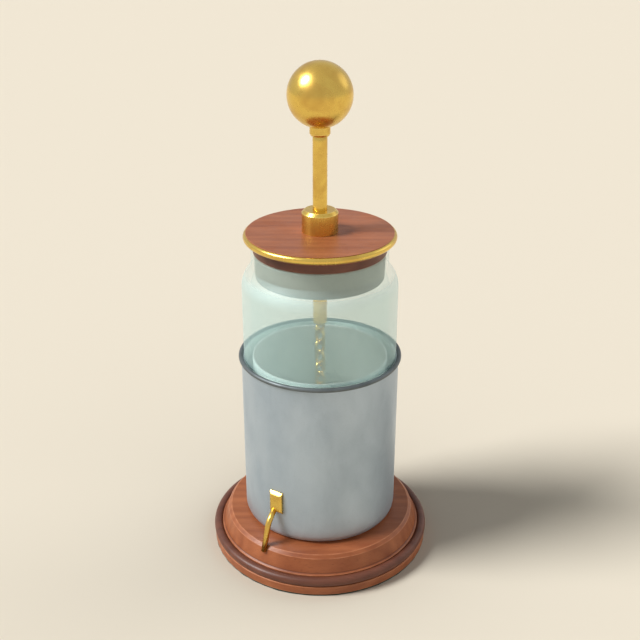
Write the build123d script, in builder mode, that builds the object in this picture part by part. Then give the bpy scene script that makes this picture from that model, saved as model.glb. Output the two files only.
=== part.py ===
from build123d import *

import math
import os

# Leyden jar: a glass jar lined and covered with tin foil, on a turned wooden base, with a wooden lid,
# a brass rod with a ball, and a chain that hangs from the rod to the inner foil.
# Millimetres. +Z is up along the rod, and the origin is the middle of the base's underside.
# -Y is the front, and the earth clip sits round from it towards -X.

# Clearances
slide_gap = 0.15  # stopper in the glass mouth, round the radius
fixed_gap = 0.05  # round pieces that are fixed in a hole, round the radius
paste_gap = 0.1  # paste between glass and foil
floor_gap = 0.3  # last link over the inner foil's floor

# Base: baize, plinth, bead and step
baize_t = 0.8
baize_inset = 0.15
plinth_t = 4.6
plinth_edge = 0.5
plinth_in = 0.4  # plinth's edge in from the bead's outside
bead_tube_r = 2.4
bead_out = 2.15  # middle of the bead's round beyond the step's foot
bead_sink = 0.3  # how much of the bead's round is cut flat where it lies on the plinth
foot_gap = 0.1
foot_h = 4.0
flare_w = 0.9
flare_h = 0.7
step_side_w = 2.7
step_side_h = 7.0
bevel_w = 1.55
bevel_h = 1.55
shelf_w = 8.25  # flat top of the step round the outer foil

# Wood screws from below, with slotted countersunk heads
screw_count = 3
screw_ring_r = 24.0
screw_r = 1.9
screw_head_r = 3.8
screw_head_t = 1.9
screw_bite = 6.5  # length in the step
screw_slot_w = 0.9
screw_slot_t = 0.8
screw_tip = 1.2

# Cork pad under the jar
pad_in = 7.0  # pad's edge in from the outer foil's outside
pad_t = 1.6

# Jar and foils
glass_r = 38.9
glass_wall = 4.4
glass_floor = 5.85
glass_heel = 2.7
glass_inner_heel = 4.0
shoulder_r = 13.5
straight_h = 126.85  # glass, from its underside to the shoulder's spring line
mouth_in = 6.45  # mouth's wall in from the jar's outside
neck_wall = 1.45
neck_h = 7.98  # straight neck above the shoulder
lip_edge = 0.3
foil_t = 1.2
foil_heel = 4.0
foil_h = 90.25  # outer foil, from its underside to its upper edge
lining_t = 0.6
rim_tube_r = 1.14
rim_ring_out = 0.26  # middle of the ring's round beyond the outer foil

# Lid, built up on the glass lip
stopper_t = 13.3
stopper_taper = 0.4
stopper_edge = 0.6
lid_neck_in = 1.0  # lid's neck ring in from the glass lip
lid_neck_t = 5.7
lid_out = 2.5  # lid's edge beyond the glass lip
lid_t = 3.9
lid_edge = 0.2
lid_ring_tube_r = 1.69
lid_ring_in = 0.55  # middle of the brass ring's round in from the lid's edge
lid_ring_drop = 1.95  # tube centre below the lid's top

# Collar with its threaded tail, washer and nut
rod_r = 3.5
collar_r = 8.9
collar_h = 11.0
collar_bevel = 1.4
tail_r = 5.2
washer_r = 10.0
washer_t = 1.2
nut_flats = 15.0
nut_t = 4.6
tail_stand = 1.0  # tail beyond the nut

# Rod, ferrule and ball
rod_below_lid = 48.7  # from the lid's top down to the rod's end
rod_edge = 0.4
stud_r = 2.45
stud_h = 10.0
ball_r = 15.4
ball_up = 65.8  # ball's middle above the lid's top
ball_seat = 0.6  # flat seat for the rod's shoulder, above the ball's lowest point
ball_hole_spare = 0.8
ferrule_r = 4.9
ferrule_foot_r = 4.3
ferrule_foot_h = 1.0
ferrule_drop = 3.5  # ferrule's foot below the ball's lowest point

# Chain: an eye screwed into the rod's end, and oval links that hang from it
wire_r = 0.8
eye_ring_r = 2.4
eye_stem_r = 1.2
eye_stem_h = 6.0
link_end_r = 2.55
link_count = 15
link_play = 0.1
link_turn_angle = 90.0  # each link is turned this far from the one above
first_angle = 45.0

# Earth clip on the outer foil and its wire down to the base's shoulder
clip_angle = 33.2  # degrees round from the front
clip_w = 7.2
clip_h = 12.5
clip_t = 1.9
clip_up = 21.95  # clip's middle above the base's top
clip_bevel_h = 1.7
clip_bevel_w = 0.8
clip_bevel_t = 1.6
earth_angle = 34.6
earth_r = 1.5
earth_root_in = 0.9  # how far the wire is let into the clip
earth_root_drop = 4.2  # below the clip's middle
earth_bend_out = 4.3  # bend's corner, beyond the clip's face
earth_bend_drop = 10.0
earth_bend_r = 8.0
earth_tip_out = 0.85  # tip's middle, beyond the bevel's lower edge
earth_tip_drop = 1.5  # below the bevel's lower edge

# Levels and radii that follow
plinth_z = baize_t + plinth_t
bead_z = plinth_z - bead_sink + bead_tube_r
flare_z = plinth_z + foot_h
side_z = flare_z + flare_h
bevel_z = side_z + step_side_h
base_top = bevel_z + bevel_h

foil_in_r = glass_r + paste_gap
foil_r = foil_in_r + foil_t
foil_top = base_top + foil_h
rim_ring_r = foil_r + rim_ring_out
pad_r = foil_r - pad_in
step_top_r = foil_r + shelf_w
bevel_r = step_top_r + bevel_w
side_foot_r = bevel_r + step_side_w
foot_r = side_foot_r + flare_w
bead_r = foot_r + bead_out
plinth_r = bead_r + bead_tube_r - plinth_in

glass_z = base_top + foil_t + paste_gap
glass_in_r = glass_r - glass_wall
glass_floor_z = glass_z + glass_floor
spring_z = glass_z + straight_h
shoulder_mid_r = glass_r - shoulder_r
mouth_r = glass_r - mouth_in
neck_r = mouth_r + neck_wall
neck_z = spring_z + math.sqrt(shoulder_r**2 - (neck_r - shoulder_mid_r) ** 2)
inner_shoulder_r = shoulder_r - glass_wall
mouth_z = spring_z + math.sqrt(inner_shoulder_r**2 - (mouth_r - shoulder_mid_r) ** 2)
lip_z = neck_z + neck_h
lining_r = glass_in_r - paste_gap
lining_z = glass_floor_z + paste_gap
lining_floor_z = lining_z + lining_t

stopper_r = mouth_r - slide_gap
lid_neck_r = neck_r - lid_neck_in
lid_r = neck_r + lid_out
lid_ring_r = lid_r - lid_ring_in
lid_z = lip_z + lid_neck_t
lid_top = lid_z + lid_t
lid_ring_z = lid_top - lid_ring_drop
stopper_z = lip_z - stopper_t
washer_z = stopper_z - washer_t
nut_z = washer_z - nut_t
tail_z = nut_z - tail_stand
stack_hole_r = tail_r + fixed_gap
rod_z = lid_top - rod_below_lid
ball_z = lid_top + ball_up
rod_shoulder_z = ball_z - ball_r + ball_seat
ferrule_z = ball_z - ball_r - ferrule_drop

clip_face_r = foil_r + clip_t
clip_z = base_top + clip_up
earth_root = (clip_face_r - earth_root_in, clip_z - earth_root_drop)
earth_bend = (clip_face_r + earth_bend_out, clip_z - earth_bend_drop)
earth_tip = (bevel_r + earth_tip_out, bevel_z - earth_tip_drop)

# Chain: its links share the way from the eye down to just over the inner foil's floor
eye_z = rod_z - eye_ring_r - wire_r
chain_z = eye_z - eye_ring_r + 2 * wire_r + link_play
chain_hang = chain_z - 3 * wire_r - link_play - floor_gap - lining_floor_z
link_step = chain_hang / link_count
link_h = link_step + 2 * wire_r + link_play
link_straight = link_h - 2 * link_end_r

screw_places = PolarLocations(screw_ring_r, screw_count, start_angle=90)


def upright(turn: float) -> Plane:
    """The upright plane through the Z axis that faces out at an angle round from the front."""
    angle = math.radians(turn)
    return Plane(
        origin=(0, 0, 0),
        x_dir=(-math.sin(angle), -math.cos(angle), 0),
        z_dir=(-math.cos(angle), math.sin(angle), 0),
    )


def round_bar(radius: float, low: float, high: float) -> Part:
    """A plain round bar on the Z axis between two levels."""
    with BuildPart() as bar:
        with BuildSketch(Plane.XY.offset(low)):
            Circle(radius)
        extrude(amount=high - low)
    return bar.part


def screw_form(gap: float) -> Part:
    """One wood screw on the Z axis, its head down, grown by a gap."""
    shank_r = screw_r + gap
    tip_z = plinth_z + screw_bite + gap
    with BuildPart() as screw:
        with BuildSketch(Plane.XZ):
            with BuildLine():
                Polyline(
                    (0, baize_t),
                    (screw_head_r + gap, baize_t),
                    (shank_r, baize_t + screw_head_t),
                    (shank_r, tip_z - screw_tip),
                    (0, tip_z),
                    close=True,
                )
            make_face()
        revolve(axis=Axis.Z)
    return screw.part


def earth_bar(radius: float) -> Part:
    """The earth wire's round bar, from the clip round its bend to its tip."""
    with BuildPart() as bar:
        with BuildLine(upright(earth_angle)) as path:
            FilletPolyline(earth_root, earth_bend, earth_tip, radius=earth_bend_r)
        with BuildSketch(Plane(origin=path.line @ 0, z_dir=path.line % 0)):
            Circle(radius)
        sweep()
    return bar.part


def save(body: Part, name: str) -> None:
    """Names a finished piece and writes its file."""
    body.label = name
    export_step(body, f"parts/{name}.step")


# Baize under the base
with BuildPart() as base_baize:
    with BuildSketch(Plane.XY):
        Circle(plinth_r - baize_inset)
    extrude(amount=baize_t)

# Plinth, with countersunk holes for the screws
with BuildPart() as base_plinth:
    with BuildSketch(Plane.XY.offset(baize_t)):
        Circle(plinth_r)
    extrude(amount=plinth_t)
    chamfer(base_plinth.edges().group_by(Axis.Z)[0], plinth_edge)
    with screw_places:
        add(screw_form(fixed_gap), mode=Mode.SUBTRACT)

# Screws, with slotted flat heads level with the plinth's underside
with BuildPart() as base_screws:
    with screw_places:
        add(screw_form(0))
    with BuildSketch(Plane.XY.offset(baize_t)):
        with screw_places:
            Rectangle(2 * screw_head_r, screw_slot_w)
    extrude(amount=screw_slot_t, mode=Mode.SUBTRACT)

# Bead round the step's foot, flat where it lies on the plinth
with BuildPart() as base_bead:
    with BuildSketch(Plane.XZ):
        with Locations((bead_r, bead_z)):
            Circle(bead_tube_r)
        with Locations((foot_r + foot_gap, plinth_z)):
            Rectangle(
                2 * bead_tube_r,
                2 * bead_tube_r,
                align=(Align.MIN, Align.MIN),
                mode=Mode.INTERSECT,
            )
    revolve(axis=Axis.Z)

# Step, with the pad's seat, the screws' holes and the notch for the earth wire's tip
with BuildPart() as base_step:
    with BuildSketch(Plane.XZ):
        with BuildLine():
            Polyline(
                (0, plinth_z),
                (foot_r, plinth_z),
                (foot_r, flare_z),
                (side_foot_r, side_z),
                (bevel_r, bevel_z),
                (step_top_r, base_top),
                (0, base_top),
                close=True,
            )
        make_face()
    revolve(axis=Axis.Z)
    add(round_bar(pad_r + fixed_gap, base_top - pad_t, base_top), mode=Mode.SUBTRACT)
    with screw_places:
        add(screw_form(fixed_gap), mode=Mode.SUBTRACT)
    add(earth_bar(earth_r + fixed_gap), mode=Mode.SUBTRACT)

# Cork pad under the jar
seat_pad = round_bar(pad_r, base_top - pad_t, base_top)

# Outer foil: a cup of tin with a rounded heel
with BuildPart() as outer_foil:
    with BuildSketch(Plane.XZ):
        with BuildLine():
            heel_r = foil_r - foil_heel
            in_heel = foil_heel - foil_t
            Line((0, base_top), (heel_r, base_top))
            TangentArc((heel_r, base_top), (foil_r, base_top + foil_heel), tangent=(1, 0))
            Polyline(
                (foil_r, base_top + foil_heel),
                (foil_r, foil_top),
                (foil_in_r, foil_top),
                (foil_in_r, base_top + foil_heel),
            )
            TangentArc(
                (foil_in_r, base_top + foil_heel),
                (foil_in_r - in_heel, base_top + foil_t),
                tangent=(0, -1),
            )
            Polyline((foil_in_r - in_heel, base_top + foil_t), (0, base_top + foil_t), (0, base_top))
        make_face()
    revolve(axis=Axis.Z)

# Round ring that caps the outer foil's upper edge
with BuildPart() as foil_rim_ring:
    with BuildSketch(Plane.XZ):
        with Locations((rim_ring_r, foil_top)):
            Circle(rim_tube_r)
        with Locations((foil_r, foil_top)):
            Rectangle(
                2 * rim_tube_r,
                2 * rim_tube_r,
                align=(Align.MAX, Align.MAX),
                mode=Mode.SUBTRACT,
            )
    revolve(axis=Axis.Z)

# Glass jar: heel, straight wall, shoulder, neck with its lip, and the same way back inside
with BuildPart() as glass_jar:
    with BuildSketch(Plane.XZ):
        with BuildLine():
            heel_z = glass_z + glass_heel
            in_heel_r = glass_in_r - glass_inner_heel
            in_heel_z = glass_floor_z + glass_inner_heel
            Line((0, glass_z), (glass_r - glass_heel, glass_z))
            TangentArc((glass_r - glass_heel, glass_z), (glass_r, heel_z), tangent=(1, 0))
            Line((glass_r, heel_z), (glass_r, spring_z))
            TangentArc((glass_r, spring_z), (neck_r, neck_z), tangent=(0, 1))
            Polyline(
                (neck_r, neck_z),
                (neck_r, lip_z - lip_edge),
                (neck_r - lip_edge, lip_z),
                (mouth_r, lip_z),
                (mouth_r, mouth_z),
            )
            TangentArc((glass_in_r, spring_z), (mouth_r, mouth_z), tangent=(0, 1))
            Line((glass_in_r, spring_z), (glass_in_r, in_heel_z))
            TangentArc((glass_in_r, in_heel_z), (in_heel_r, glass_floor_z), tangent=(0, -1))
            Polyline((in_heel_r, glass_floor_z), (0, glass_floor_z), (0, glass_z))
        make_face()
    revolve(axis=Axis.Z)

# Inner foil: a thin cup of tin pasted inside the glass, as high as the outer foil
with BuildPart() as inner_foil:
    with BuildSketch(Plane.XZ):
        with BuildLine():
            in_r = lining_r - lining_t
            turn_r = glass_inner_heel - paste_gap
            turn_in = lining_r - turn_r
            turn_z = lining_z + turn_r
            Line((0, lining_z), (turn_in, lining_z))
            TangentArc((turn_in, lining_z), (lining_r, turn_z), tangent=(1, 0))
            Polyline((lining_r, turn_z), (lining_r, foil_top), (in_r, foil_top), (in_r, turn_z))
            TangentArc((in_r, turn_z), (turn_in, lining_floor_z), tangent=(0, -1))
            Polyline((turn_in, lining_floor_z), (0, lining_floor_z), (0, lining_z))
        make_face()
    revolve(axis=Axis.Z)

# Earth clip: a bevelled plate, hollowed behind to the foil's round and drilled for the wire
clip_low = clip_z - clip_h / 2
clip_high = clip_z + clip_h / 2
clip_plane = upright(clip_angle)
with BuildPart() as earth_clip:
    with BuildSketch(clip_plane):
        with BuildLine():
            Polyline(
                (foil_r - clip_t, clip_low),
                (clip_face_r - clip_bevel_t, clip_low),
                (clip_face_r, clip_low + clip_bevel_h),
                (clip_face_r, clip_high - clip_bevel_h),
                (clip_face_r - clip_bevel_t, clip_high),
                (foil_r - clip_t, clip_high),
                close=True,
            )
        make_face()
    extrude(amount=clip_w / 2, both=True)
    clip_face = earth_clip.faces().sort_by(Axis((0, 0, 0), clip_plane.x_dir))[-1]
    chamfer(clip_face.edges().filter_by(Axis.Z), clip_bevel_w)
    add(round_bar(foil_r, clip_low, clip_high), mode=Mode.SUBTRACT)
    add(earth_bar(earth_r), mode=Mode.SUBTRACT)

# Earth wire, from its socket in the clip to the notch in the base's shoulder
earth_wire = earth_bar(earth_r)

# Stopper, slightly tapered
with BuildPart() as stopper:
    with BuildSketch(Plane.XZ):
        with BuildLine():
            Polyline(
                (stack_hole_r, stopper_z),
                (stopper_r - stopper_taper - stopper_edge, stopper_z),
                (stopper_r - stopper_taper, stopper_z + stopper_edge),
                (stopper_r, lip_z - stopper_edge),
                (stopper_r, lip_z),
                (stack_hole_r, lip_z),
                close=True,
            )
        make_face()
    revolve(axis=Axis.Z)

# Dark neck ring between the stopper and the lid's disc
with BuildPart() as lid_neck:
    with BuildSketch(Plane.XY.offset(lip_z)):
        Circle(lid_neck_r)
        Circle(stack_hole_r, mode=Mode.SUBTRACT)
    extrude(amount=lid_neck_t)

# Lid's disc, with a round groove in its edge for the brass ring
with BuildPart() as lid_disc:
    with BuildSketch(Plane.XZ):
        with Locations((stack_hole_r, lid_z)):
            Rectangle(lid_r - stack_hole_r, lid_t, align=(Align.MIN, Align.MIN))
        with Locations((lid_ring_r, lid_ring_z)):
            Circle(lid_ring_tube_r + fixed_gap, mode=Mode.SUBTRACT)
    revolve(axis=Axis.Z)
    top_edges = lid_disc.edges().filter_by(GeomType.CIRCLE).group_by(Axis.Z)[-1]
    fillet(top_edges.sort_by(SortBy.RADIUS)[-1], lid_edge)

with BuildPart() as lid_ring:
    with BuildSketch(Plane.XZ):
        with Locations((lid_ring_r, lid_ring_z)):
            Circle(lid_ring_tube_r)
    revolve(axis=Axis.Z)

# Collar and threaded tail in one piece, bored for the rod
with BuildPart() as lid_collar:
    with BuildSketch(Plane.XY.offset(lid_top)):
        Circle(collar_r)
    extrude(amount=collar_h)
    chamfer(lid_collar.edges().group_by(Axis.Z)[-1], collar_bevel)
    add(round_bar(tail_r, tail_z, lid_top))
    add(round_bar(rod_r + fixed_gap, tail_z, lid_top + collar_h), mode=Mode.SUBTRACT)

with BuildPart() as clamp_washer:
    with BuildSketch(Plane.XY.offset(washer_z)):
        Circle(washer_r)
        Circle(stack_hole_r, mode=Mode.SUBTRACT)
    extrude(amount=washer_t)

with BuildPart() as clamp_nut:
    with BuildSketch(Plane.XY.offset(nut_z)):
        RegularPolygon(nut_flats / 2, 6, major_radius=False)
        Circle(stack_hole_r, mode=Mode.SUBTRACT)
    extrude(amount=nut_t)

# Rod, turned down to a stud for the ball and drilled for the eye
with BuildPart() as rod:
    add(round_bar(rod_r, rod_z, rod_shoulder_z))
    chamfer(rod.edges().group_by(Axis.Z)[0], rod_edge)
    add(round_bar(stud_r, rod_shoulder_z, rod_shoulder_z + stud_h))
    add(round_bar(eye_stem_r + fixed_gap, rod_z, rod_z + eye_stem_h), mode=Mode.SUBTRACT)

# Ball, with a flat seat for the rod's shoulder and a blind hole for its stud
with BuildPart() as ball:
    with Locations((0, 0, ball_z)):
        Sphere(ball_r)
    add(round_bar(rod_r + fixed_gap, ferrule_z, rod_shoulder_z), mode=Mode.SUBTRACT)
    hole_top = rod_shoulder_z + stud_h + ball_hole_spare
    add(round_bar(stud_r + fixed_gap, rod_shoulder_z, hole_top), mode=Mode.SUBTRACT)

# Ferrule, hollowed on top to the ball's round
with BuildPart() as ball_ferrule:
    with BuildSketch(Plane.XZ):
        with BuildLine():
            Polyline(
                (rod_r + fixed_gap, ferrule_z),
                (ferrule_foot_r, ferrule_z),
                (ferrule_r, ferrule_z + ferrule_foot_h),
                (ferrule_r, ball_z),
                (rod_r + fixed_gap, ball_z),
                close=True,
            )
        make_face()
    revolve(axis=Axis.Z)
    with Locations((0, 0, ball_z)):
        Sphere(ball_r + fixed_gap, mode=Mode.SUBTRACT)


def wire_loop(turn: float, z: float, end_r: float, straight: float) -> Part:
    """An upright closed loop of wire about a level: two half rounds joined by straight sides."""
    high = z + straight / 2
    low = z - straight / 2
    with BuildPart() as loop:
        with BuildLine(upright(turn)) as path:
            CenterArc((0, high), end_r, 0, 180)
            CenterArc((0, low), end_r, 180, 180)
            if straight > 0:
                Line((-end_r, high), (-end_r, low))
                Line((end_r, low), (end_r, high))
        with BuildSketch(Plane(origin=path.line @ 0, z_dir=path.line % 0)):
            Circle(wire_r)
        sweep()
    return loop.part


# Eye: a ring on a stem that is screwed up into the rod's end
with BuildPart() as chain_eye:
    add(wire_loop(first_angle, eye_z, eye_ring_r, 0))
    add(round_bar(eye_stem_r, eye_z + eye_ring_r, rod_z + eye_stem_h - fixed_gap))

# Links, each turned from the one above
links = []
for number in range(link_count):
    link_z = chain_z - number * link_step - link_h / 2
    link_turn = first_angle + link_turn_angle * (number + 1)
    links.append(wire_loop(link_turn, link_z, link_end_r, link_straight))

os.makedirs("parts", exist_ok=True)
save(base_baize.part, "base_baize")
save(base_plinth.part, "base_plinth")
save(base_screws.part, "base_screws")
save(base_bead.part, "base_bead")
save(base_step.part, "base_step")
save(seat_pad, "seat_pad")
save(outer_foil.part, "outer_foil")
save(foil_rim_ring.part, "foil_rim_ring")
save(glass_jar.part, "glass_jar")
save(inner_foil.part, "inner_foil")
save(earth_clip.part, "earth_clip")
save(earth_wire, "earth_wire")
save(stopper.part, "stopper")
save(lid_neck.part, "lid_neck")
save(lid_disc.part, "lid_disc")
save(lid_ring.part, "lid_ring")
save(lid_collar.part, "lid_collar")
save(clamp_washer.part, "clamp_washer")
save(clamp_nut.part, "clamp_nut")
save(rod.part, "rod")
save(ball.part, "ball")
save(ball_ferrule.part, "ball_ferrule")
save(chain_eye.part, "chain_eye")
for number, link in enumerate(links, start=1):
    save(link, f"chain_link_{number:02d}")

print("links", link_count, "pitch", round(link_step, 3), "straight", round(link_straight, 3))
print("first pivot", round(eye_z - eye_ring_r, 3), "overall height", round(ball_z + ball_r, 3))
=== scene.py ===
"""Leyden jar: foil-covered glass on a turned wooden base, with a brass rod, ball and chain.

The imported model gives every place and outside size. Each class is one sub-assembly. It works out its
surfaces with numpy, gives them their finish and puts them on the body that carries them.
Lengths are in metres.
"""

from __future__ import annotations

import logging
import math
from dataclasses import dataclass, field
from enum import Enum
from typing import Callable, Sequence

import bpy
import numpy as np
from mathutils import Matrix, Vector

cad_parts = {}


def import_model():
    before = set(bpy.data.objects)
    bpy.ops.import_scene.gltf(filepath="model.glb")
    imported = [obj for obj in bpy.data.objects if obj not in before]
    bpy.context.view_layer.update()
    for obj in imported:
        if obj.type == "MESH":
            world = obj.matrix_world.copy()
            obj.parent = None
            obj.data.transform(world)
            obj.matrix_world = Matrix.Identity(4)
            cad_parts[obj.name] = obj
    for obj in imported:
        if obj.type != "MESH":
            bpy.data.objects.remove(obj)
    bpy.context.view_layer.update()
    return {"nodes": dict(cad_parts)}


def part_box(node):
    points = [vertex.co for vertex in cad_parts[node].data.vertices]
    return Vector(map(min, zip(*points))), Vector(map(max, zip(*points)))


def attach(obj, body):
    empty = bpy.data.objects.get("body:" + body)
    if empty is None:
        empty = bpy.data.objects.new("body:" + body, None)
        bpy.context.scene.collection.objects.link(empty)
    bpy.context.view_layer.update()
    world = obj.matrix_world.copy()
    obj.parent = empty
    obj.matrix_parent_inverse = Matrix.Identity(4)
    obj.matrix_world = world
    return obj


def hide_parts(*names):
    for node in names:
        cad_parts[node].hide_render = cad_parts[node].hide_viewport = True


log = logging.getLogger("leyden_jar")

MM = 1e-3
TAU = 2 * math.pi

# How finely a corner is rounded, how near to it the flats are held, and what counts as nothing
EASE_STEPS = 6
HOLD = 0.25 * MM
NO_LENGTH = 1e-9
NOT_ZERO = 1e-12

Array = np.ndarray
Corner = tuple[float, float, float]
Colour = tuple[float, float, float, float]
Mesh = bpy.types.Mesh
Material = bpy.types.Material
Socket = bpy.types.NodeSocket
Shape = Callable[[Array, Array, Array], Array]


class Slot(Enum):
    """The record's material slots."""

    MAHOGANY = "mahogany"
    DARK_WOOD = "dark_wood"
    BAIZE = "baize"
    CORK = "cork"
    TIN = "tin"
    PEWTER = "pewter"
    GLASS = "glass"
    BRASS = "brass"
    STEEL = "screw_steel"
    RUBBER = "stopper_rubber"


class Body(Enum):
    """The two bodies that carry more than one piece."""

    BASE = "base"
    LID = "lid"


def tone(red: int, green: int, blue: int) -> Colour:
    """Turns a screen colour into the linear one that a shader takes.

    Args:
        red, green, blue: the screen colour, from 0 to 255 each.

    Returns:
        Red, green, blue and a full alpha, from 0 to 1.
    """
    screen = np.array([red, green, blue]) / 255
    linear = np.where(screen <= 0.04045, screen / 12.92, ((screen + 0.055) / 1.055) ** 2.4)
    return (float(linear[0]), float(linear[1]), float(linear[2]), 1.0)


# Surfaces


def eased(corners: Sequence[Corner], steps: int = EASE_STEPS) -> Array:
    """Rounds the corners of a half section.

    Each corner becomes an arc tangent to its two runs. The arc is a blend of its two end radii by the
    sines of the angle still to go and the angle gone. A point on each run, a hold away from the arc,
    keeps the shading of the flats flat.

    Args:
        corners: radius, height and ease of each corner, with the solid on the left of the walk.
        steps: how many steps each arc takes.

    Returns:
        Rows of radius, height and wear, where wear is 1 on an outer edge and -1 in an inner one.
    """
    table = np.array(corners, float)
    point, ease = table[:, :2], table[:, 2]
    back = np.roll(point, 1, 0) - point
    ahead = np.roll(point, -1, 0) - point
    run_back = np.linalg.norm(back, axis=1)
    run_ahead = np.linalg.norm(ahead, axis=1)
    back /= run_back[:, None]
    ahead /= run_ahead[:, None]
    half = np.arccos(np.clip((back * ahead).sum(1), -1, 1)) / 2
    reach = np.where(ease > 0, ease / np.tan(half), 0)
    room = run_ahead / np.maximum(reach + np.roll(reach, -1), run_ahead)
    reach *= np.minimum(room, np.roll(room, 1))
    left = run_ahead - reach - np.roll(reach, -1)
    hold_ahead = np.minimum(HOLD, 0.4 * left)
    hold_back = np.minimum(HOLD, 0.4 * np.roll(left, 1))

    turn = math.pi - 2 * half
    middle = back + ahead
    middle /= np.maximum(np.linalg.norm(middle, axis=1), NOT_ZERO)[:, None]
    centre = point + middle * (reach / np.cos(half))[:, None]
    start = point + back * reach[:, None] - centre
    end = point + ahead * reach[:, None] - centre
    share = np.linspace(0, 1, steps + 1)[:, None, None]
    spread = np.maximum(np.sin(turn), NOT_ZERO)[None, :, None]
    gone = share * turn[None, :, None]
    arcs = centre + (np.sin(turn[None, :, None] - gone) * start + np.sin(gone) * end) / spread

    rows = np.concatenate(
        [
            (point + back * (reach + hold_back)[:, None])[None],
            arcs,
            (point + ahead * (reach + hold_ahead)[:, None])[None],
        ]
    )
    outer = np.sign(back[:, 1] * ahead[:, 0] - back[:, 0] * ahead[:, 1])
    wear = np.zeros(rows.shape[:2])
    wear[1:-1] = np.where(ease > 0, outer, 0)
    sharp = ease <= 0
    rows[0, sharp] = point[sharp]
    rows[-1, sharp] = point[sharp]
    section = np.dstack([rows, wear]).transpose(1, 0, 2).reshape(-1, 3)
    step = np.linalg.norm(np.diff(section[:, :2], axis=0, prepend=section[-1:, :2]), axis=1)
    return section[step > NO_LENGTH]


def round_section(radius: float, height: float, tube: float, steps: int = 40) -> Array:
    """A full circle as a half section: radius plus tube cosine, height plus tube sine.

    Args:
        radius, height: the middle of the circle.
        tube: its radius.
        steps: how many points it has.

    Returns:
        Rows of radius, height and wear.
    """
    angle = np.arange(steps) / steps * TAU
    return np.column_stack(
        [radius + tube * np.cos(angle), height + tube * np.sin(angle), np.zeros(steps)]
    )


def refined(section: Array, step: float) -> Array:
    """Adds points to the long runs of a half section, a step apart, by the length walked.

    Args:
        section: rows of radius, height and wear.
        step: the most that two points may lie apart.

    Returns:
        The section with its own points kept.
    """
    run = np.linalg.norm(np.diff(section[:, :2], axis=0), axis=1)
    walked = np.concatenate([[0], np.cumsum(run)])
    comb = np.arange(0, walked[-1], step)
    near = np.abs(comb[:, None] - walked[None]).min(1)
    places = np.sort(np.concatenate([walked, comb[near > 0.3 * step]]))
    return np.column_stack([np.interp(places, walked, section[:, k]) for k in range(3)])


def skin(name: str, grid: Array, caps: Array | None, wear: Array | None = None) -> Mesh:
    """Makes a closed mesh from a grid of points whose columns run round.

    Args:
        name: the mesh's name.
        grid: points by row, column and axis.
        caps: one point that closes the first row and one that closes the last, or None where the rows
            run round too.
        wear: a value of each row, kept on its points for the finish.

    Returns:
        The mesh, shaded smooth.
    """
    rows, columns = grid.shape[:2]
    index = np.arange(rows * columns).reshape(rows, columns)
    beside = np.roll(index, -1, 1)
    if caps is None:
        here, there = index, np.roll(index, -1, 0)
        here_beside, there_beside = beside, np.roll(beside, -1, 0)
    else:
        here, there = index[:-1], index[1:]
        here_beside, there_beside = beside[:-1], beside[1:]
    faces = np.stack([here, here_beside, there_beside, there], -1).reshape(-1, 4).tolist()
    points = grid.reshape(-1, 3)
    values = np.repeat(np.zeros(rows) if wear is None else wear, columns)
    if caps is not None:
        first, last = len(points), len(points) + 1
        points = np.vstack([points, caps])
        values = np.append(values, [0, 0])
        faces += np.stack([np.full(columns, first), beside[0], index[0]], -1).tolist()
        faces += np.stack([np.full(columns, last), index[-1], beside[-1]], -1).tolist()
    mesh = bpy.data.meshes.new(name)
    mesh.from_pydata(points.tolist(), [], faces)
    mesh.polygons.foreach_set("use_smooth", np.ones(len(faces), bool))
    mesh.attributes.new("wear", "FLOAT", "POINT").data.foreach_set("value", values)
    mesh.validate()
    mesh.update()
    return mesh


def turned(name: str, section: Array, segments: int = 192, shape: Shape | None = None) -> Mesh:
    """Turns a half section about the upright axis: radius times cosine, radius times sine, height.

    Args:
        name: the mesh's name.
        section: rows of radius, height and wear. It runs from axis to axis, or round on itself.
        segments: how many steps go round.
        shape: gives the radius from the angle, the section's radius and its height.

    Returns:
        The closed mesh.
    """
    radius, height, wear = section.T
    area = (radius * np.roll(height, -1) - np.roll(radius, -1) * height).sum()
    if area < 0:
        radius, height, wear = radius[::-1], height[::-1], wear[::-1]
    caps = None
    if radius[0] < NO_LENGTH:
        caps = np.array([[0, 0, height[0]], [0, 0, height[-1]]])
        radius, height, wear = radius[1:-1], height[1:-1], wear[1:-1]
    angle = np.arange(segments) / segments * TAU
    angle, radii = np.meshgrid(angle, radius)
    heights = np.repeat(height[:, None], segments, 1)
    if shape is not None:
        radii = shape(angle, radii, heights)
    grid = np.stack([radii * np.cos(angle), radii * np.sin(angle), heights], -1)
    return skin(name, grid, caps, wear)


def bar(
    name: str, path: Array, across: Array, radius: Array, closed: bool, sides: int = 28
) -> Mesh:
    """Carries a circle along a path that lies in one plane.

    At each point the circle stands on two directions, the plane's own and the one square to it and to
    the path. Its points are the path's point plus the radius times their cosine and sine.

    Args:
        name: the mesh's name.
        path: points of the path.
        across: unit direction square to the path's plane.
        radius: the circle's radius at each point.
        closed: True where the path runs round on itself.
        sides: how many points the circle has.

    Returns:
        The closed mesh.
    """
    if closed:
        along = np.roll(path, -1, 0) - np.roll(path, 1, 0)
    else:
        along = np.gradient(path, axis=0)
    along /= np.linalg.norm(along, axis=1)[:, None]
    beside = np.cross(along, across)
    angle = np.arange(sides) / sides * TAU
    ring = np.cos(angle)[None, :, None] * across + np.sin(angle)[None, :, None] * beside[:, None]
    grid = path[:, None] + np.reshape(radius, (-1, 1, 1)) * ring
    caps = None if closed else np.array([path[0], path[-1]])
    return skin(name, grid[:, ::-1], caps)


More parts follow.
